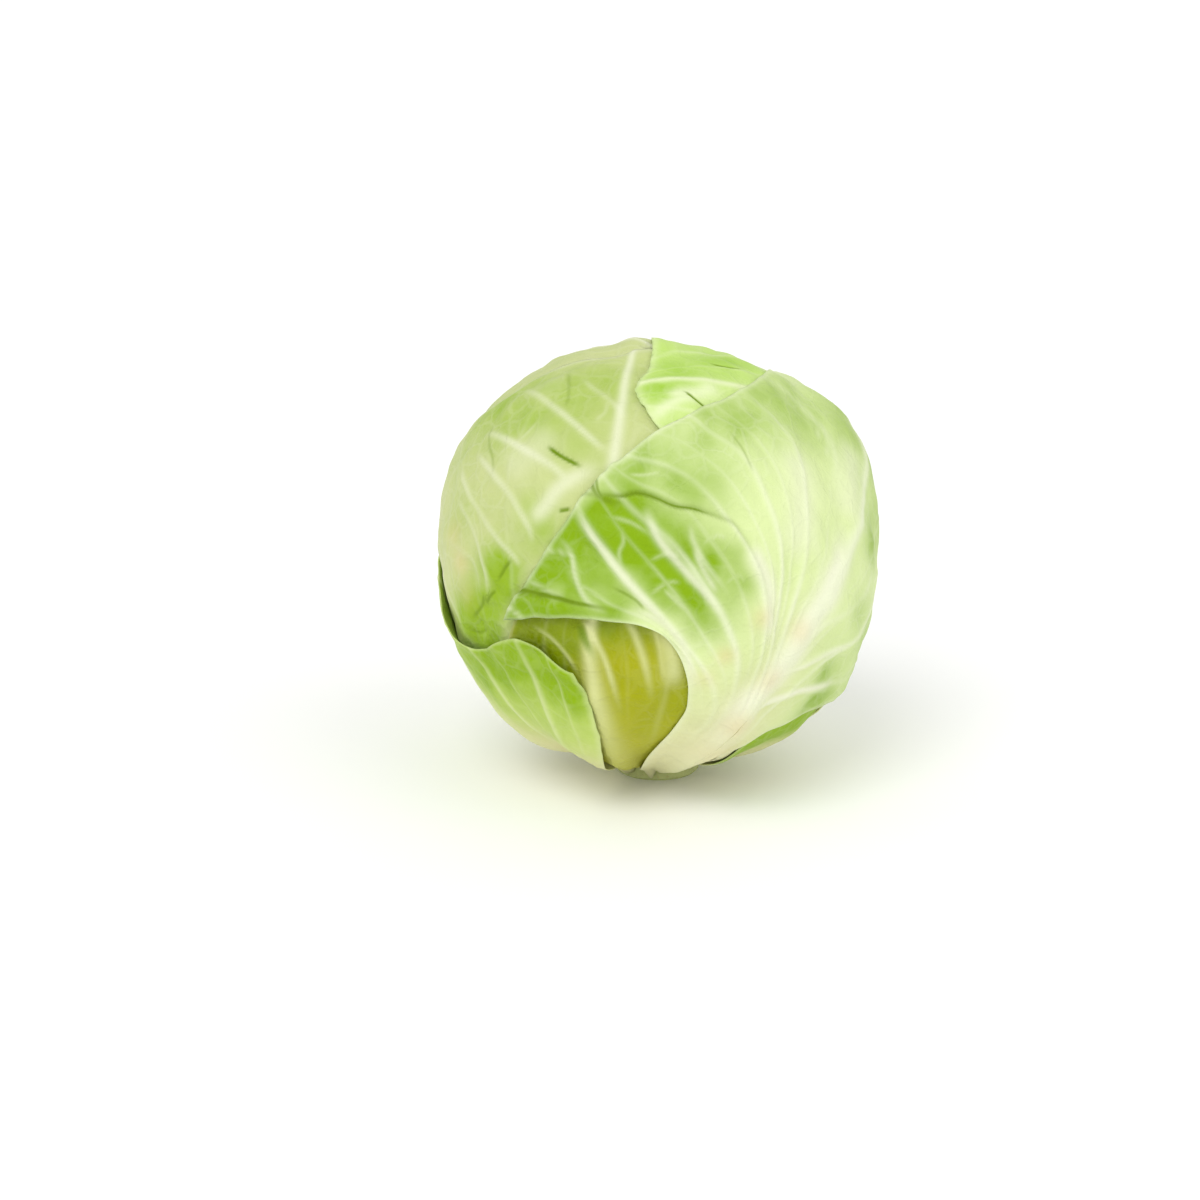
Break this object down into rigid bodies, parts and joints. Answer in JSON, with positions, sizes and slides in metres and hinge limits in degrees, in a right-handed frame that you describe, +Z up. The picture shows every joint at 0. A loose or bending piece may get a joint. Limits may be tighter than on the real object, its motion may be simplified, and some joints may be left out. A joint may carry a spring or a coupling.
{
  "type": "cabbage head",
  "caption": "Round green cabbage head standing on its cut stem, a dense heart wrapped in overlapping leaves with ribs and rolled edges.",
  "frame": {"origin": "centre of the flat cut face of the stem, on the surface that the head stands on", "axes": "+Z up along the stem through the head, -Y the side that the picture shows, +X to its right"},
  "size_m": [0.1796, 0.1804, 0.1806],
  "materials": {
    "stalk": "matt",
    "heart": "satin",
    "inner_leaf": "satin",
    "pale_leaf": "satin",
    "green_leaf": "satin"
  },
  "bodies": {
    "root": {"stalk": "stalk", "heart": "heart", "inner_leaf_1": "inner_leaf", "inner_leaf_2": "inner_leaf", "inner_leaf_3": "inner_leaf", "inner_leaf_4": "inner_leaf", "back_leaf": "pale_leaf", "left_leaf": "pale_leaf", "right_leaf": "green_leaf", "crown_leaf": "pale_leaf", "fold_leaf": "green_leaf", "front_leaf": "green_leaf", "base_leaf": "green_leaf"}
  },
  "joints": []
}
